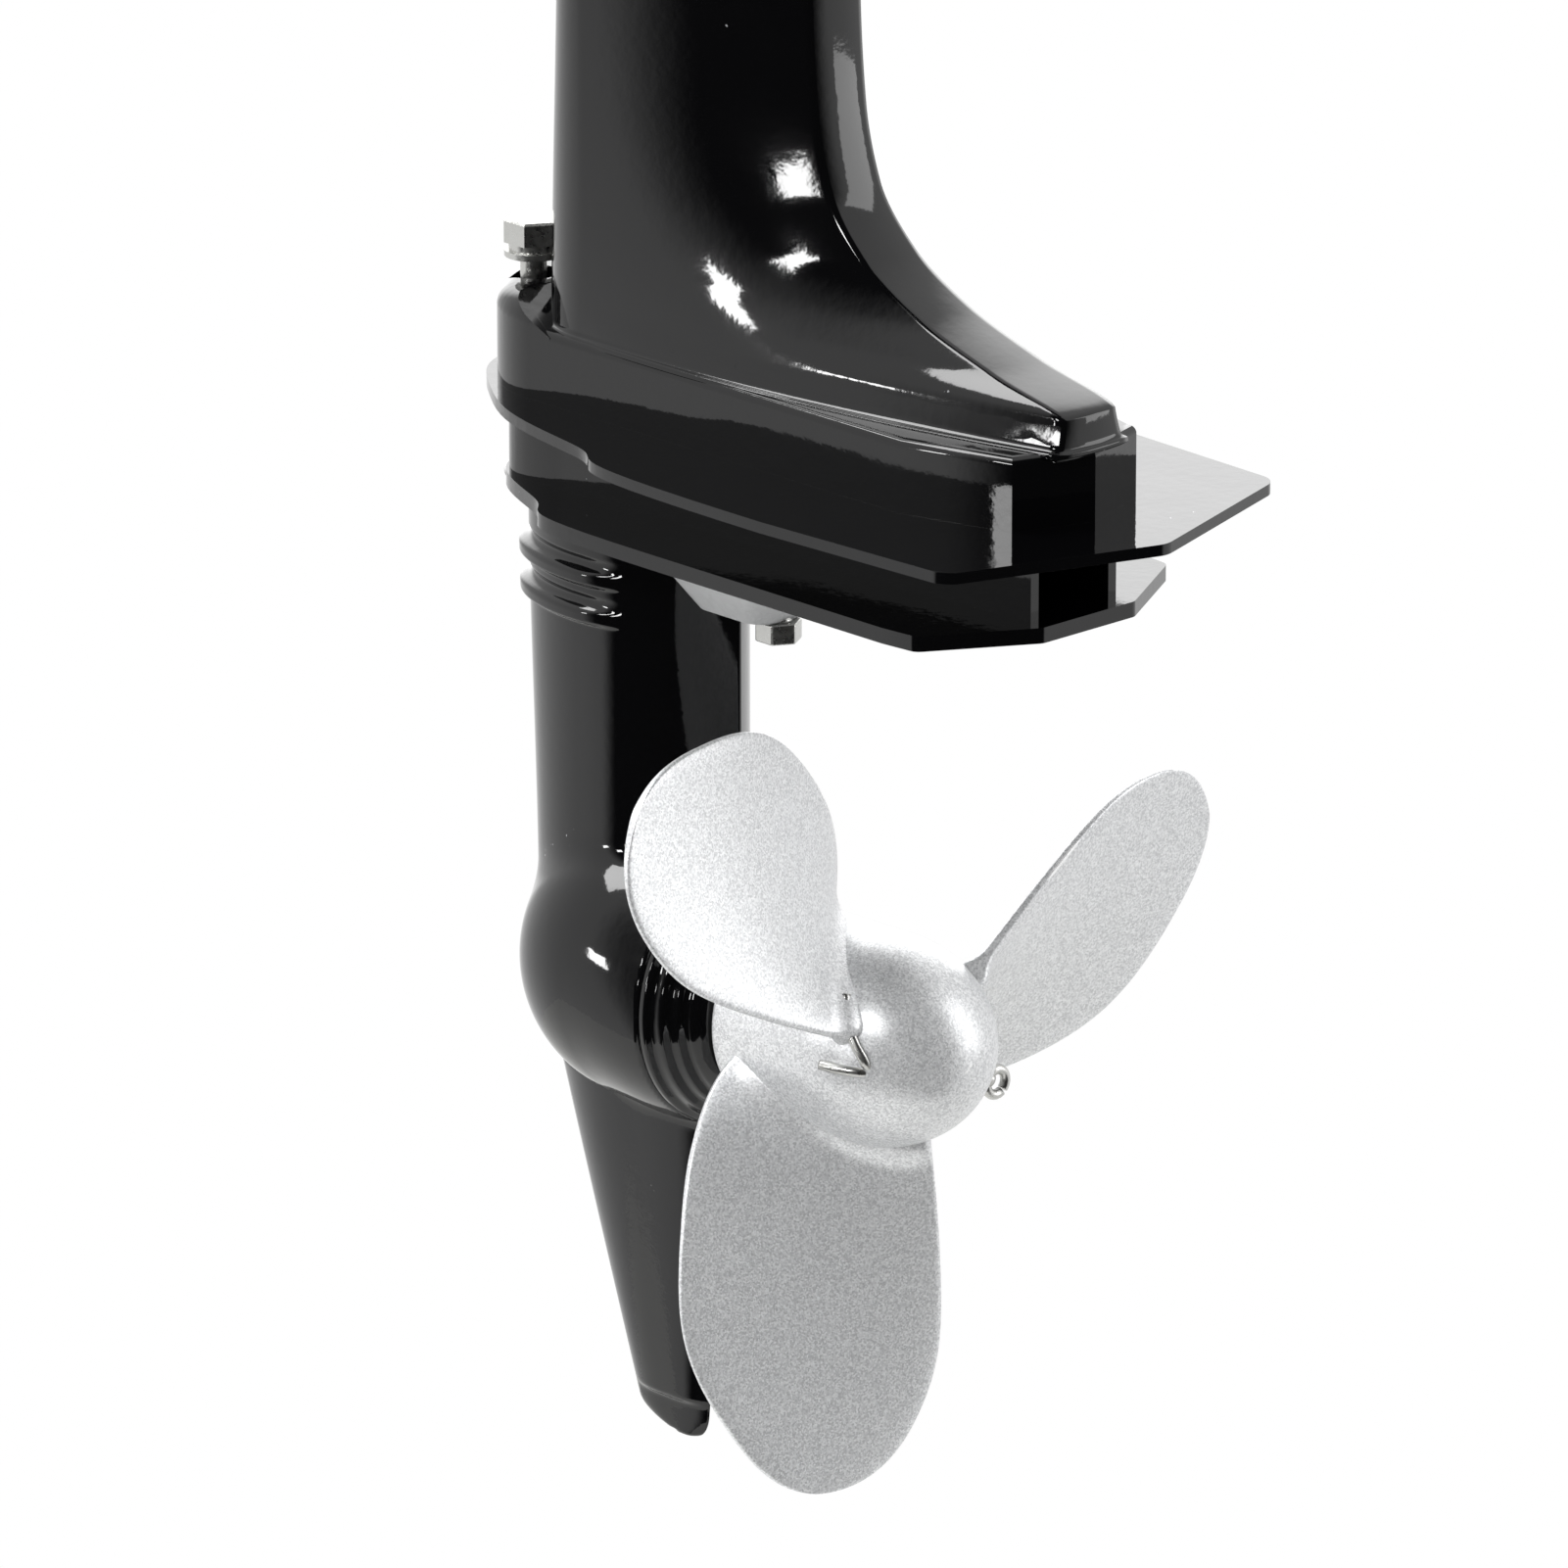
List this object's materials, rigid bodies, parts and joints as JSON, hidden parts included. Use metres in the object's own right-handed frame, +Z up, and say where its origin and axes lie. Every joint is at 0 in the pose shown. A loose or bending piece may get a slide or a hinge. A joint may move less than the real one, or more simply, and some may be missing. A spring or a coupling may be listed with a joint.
{
  "type": "outboard motor",
  "caption": "Small transom-hung petrol outboard with tiller steering, screw clamps, tilt bracket, slim leg, bevel-geared propeller shaft and a bladed propeller.",
  "frame": {"origin": "middle of the transom seat, under the hooks of the two clamp brackets", "axes": "+X aft, +Y to starboard, +Z up along the drive and steering axis"},
  "size_m": [0.6253, 0.1838, 0.978],
  "materials": {
    "black_paint": "gloss black enamel on cast aluminium",
    "silver_paint": "sparkling silver enamel",
    "zinc_steel": "bright zinc-plated steel",
    "steel": "ground steel",
    "bare_aluminium": "as-cast aluminium",
    "bronze": "bearing bronze",
    "anode_metal": "rough cast sacrificial metal",
    "nylon": "natural nylon",
    "rubber": "moulded rubber",
    "black_plastic": "moulded black plastic",
    "cowl_plastic": "gloss black moulded cowl",
    "tank_plastic": "natural polyethylene",
    "copper": "drawn copper tube",
    "red_plastic": "red moulded plastic"
  },
  "bodies": {
    "clamp": {"clamp_bracket_port": "black_paint", "clamp_bracket_starboard": "black_paint", "tilt_bolt": "zinc_steel", "trim_pin": "zinc_steel"},
    "pad_port": {"clamp_pad_port": "zinc_steel"},
    "pad_starboard": {"clamp_pad_starboard": "zinc_steel"},
    "screw_port": {"clamp_screw_port": "zinc_steel", "clamp_handle_port": "zinc_steel"},
    "screw_starboard": {"clamp_screw_starboard": "zinc_steel", "clamp_handle_starboard": "zinc_steel"},
    "swivel": {"swivel_bracket": "black_paint", "swivel_bushes": "nylon"},
    "motor": {"steering_tube": "steel", "drive_shaft_housing": "black_paint", "flange_bolts": "zinc_steel", "gearcase_housing": "black_paint", "gearcase_cap": "black_paint", "oil_seals": "rubber", "propeller_shaft_bearings": "steel", "drive_shaft_bushes": "bronze", "water_pump_housing": "black_plastic", "water_tube": "copper", "anode": "anode_metal", "anode_screw": "zinc_steel", "housing_bolt": "zinc_steel", "engine_pan": "black_paint", "top_cowl": "cowl_plastic", "cylinder_block": "bare_aluminium", "crankcase_cover": "bare_aluminium", "cylinder_head": "bare_aluminium", "spark_plug": "steel", "recoil_housing": "black_plastic", "carburettor": "bare_aluminium", "intake_silencer": "black_plastic", "ignition_coil": "black_plastic", "fuel_tank": "tank_plastic", "tiller_bolt": "zinc_steel", "carry_handle": "rubber"},
    "propeller_line": {"propeller": "silver_paint", "propeller_shaft": "steel", "driven_gear": "steel", "shear_pin": "steel", "cotter_pin": "zinc_steel"},
    "drive_line": {"drive_shaft": "steel", "pinion_gear": "steel", "water_pump_impeller": "rubber", "crankshaft": "steel", "flywheel": "bare_aluminium", "starter_cup": "steel"},
    "rod": {"connecting_rod": "steel", "crank_pin": "steel"},
    "piston": {"piston": "bare_aluminium", "wrist_pin": "steel"},
    "starter_pulley": {"starter_pulley": "black_plastic"},
    "starter_handle": {"starter_handle": "black_plastic"},
    "fuel_cap": {"fuel_cap": "black_plastic"},
    "choke": {"choke_knob": "black_plastic"},
    "stop_button": {"stop_button": "red_plastic"},
    "tiller": {"tiller_arm": "black_paint"},
    "grip": {"throttle_grip": "rubber"}
  },
  "joints": [
    {"name": "tilt", "type": "hinge", "parent": "clamp", "child": "swivel", "pos_m": [-0.03, 0, 0.034], "axis": [0, -1, 0], "range_deg": [0, 75]},
    {"name": "steering", "type": "hinge", "parent": "swivel", "child": "motor", "pos_m": [0.095, 0, 0], "axis": [0, 0, 1], "continuous": true},
    {"name": "drive_spin", "type": "hinge", "parent": "motor", "child": "drive_line", "pos_m": [0.095, 0, 0], "axis": [0, 0, 1], "continuous": true},
    {"name": "propeller_spin", "type": "hinge", "parent": "motor", "child": "propeller_line", "pos_m": [0.095, 0, -0.55], "axis": [1, 0, 0], "continuous": true},
    {"name": "piston_slide", "type": "slide", "parent": "motor", "child": "piston", "axis": [1, 0, 0], "range_m": [-0.03, 0]},
    {"name": "rod_swing", "type": "hinge", "parent": "piston", "child": "rod", "pos_m": [0.17, 0, 0.1], "axis": [0, 0, 1], "range_deg": [-14.5, 14.5]},
    {"name": "starter_pull", "type": "slide", "parent": "motor", "child": "starter_handle", "axis": [-1, 0, 0], "range_m": [0, 0.5], "stiffness_N_per_m": 8, "springref_m": -0.05},
    {"name": "pulley_turn", "type": "hinge", "parent": "motor", "child": "starter_pulley", "pos_m": [0.095, 0, 0.187], "axis": [0, 0, 1], "range_deg": [-1, 960]},
    {"name": "fuel_cap_turn", "type": "hinge", "parent": "motor", "child": "fuel_cap", "pos_m": [0.185, 0, 0.325], "axis": [0, 0, 1], "range_deg": [0, 270]},
    {"name": "choke_pull", "type": "slide", "parent": "motor", "child": "choke", "axis": [-1, 0, 0], "range_m": [0, 0.012]},
    {"name": "stop_press", "type": "slide", "parent": "motor", "child": "stop_button", "axis": [1, 0, 0], "range_m": [0, 0.004], "stiffness_N_per_m": 300, "springref_m": -0.002},
    {"name": "tiller_fold", "type": "hinge", "parent": "motor", "child": "tiller", "pos_m": [-0.017, 0, 0.084], "axis": [0, 1, 0], "range_deg": [0, 70]},
    {"name": "throttle_twist", "type": "hinge", "parent": "tiller", "child": "grip", "pos_m": [-0.255, 0, 0.084], "axis": [-1, 0, 0], "range_deg": [0, 90]},
    {"name": "pad_port_slide", "type": "slide", "parent": "clamp", "child": "pad_port", "axis": [1, 0, 0], "range_m": [0, 0.03]},
    {"name": "screw_port_turn", "type": "hinge", "parent": "pad_port", "child": "screw_port", "pos_m": [-0.1, -0.045, -0.048], "axis": [1, 0, 0], "range_deg": [-10, 3610]},
    {"name": "pad_starboard_slide", "type": "slide", "parent": "clamp", "child": "pad_starboard", "axis": [1, 0, 0], "range_m": [0, 0.03]},
    {"name": "screw_starboard_turn", "type": "hinge", "parent": "pad_starboard", "child": "screw_starboard", "pos_m": [-0.1, 0.045, -0.048], "axis": [1, 0, 0], "range_deg": [-10, 3610]}
  ],
  "couplings": [
    {"joint": "propeller_spin", "follows": "drive_spin", "ratio": -0.48148},
    {"joint": "pulley_turn", "follows": "starter_pull", "rad_per_m": 33.333},
    {"joint": "screw_port_turn", "follows": "pad_port_slide", "rad_per_m": 2094.4},
    {"joint": "screw_starboard_turn", "follows": "pad_starboard_slide", "rad_per_m": 2094.4}
  ]
}
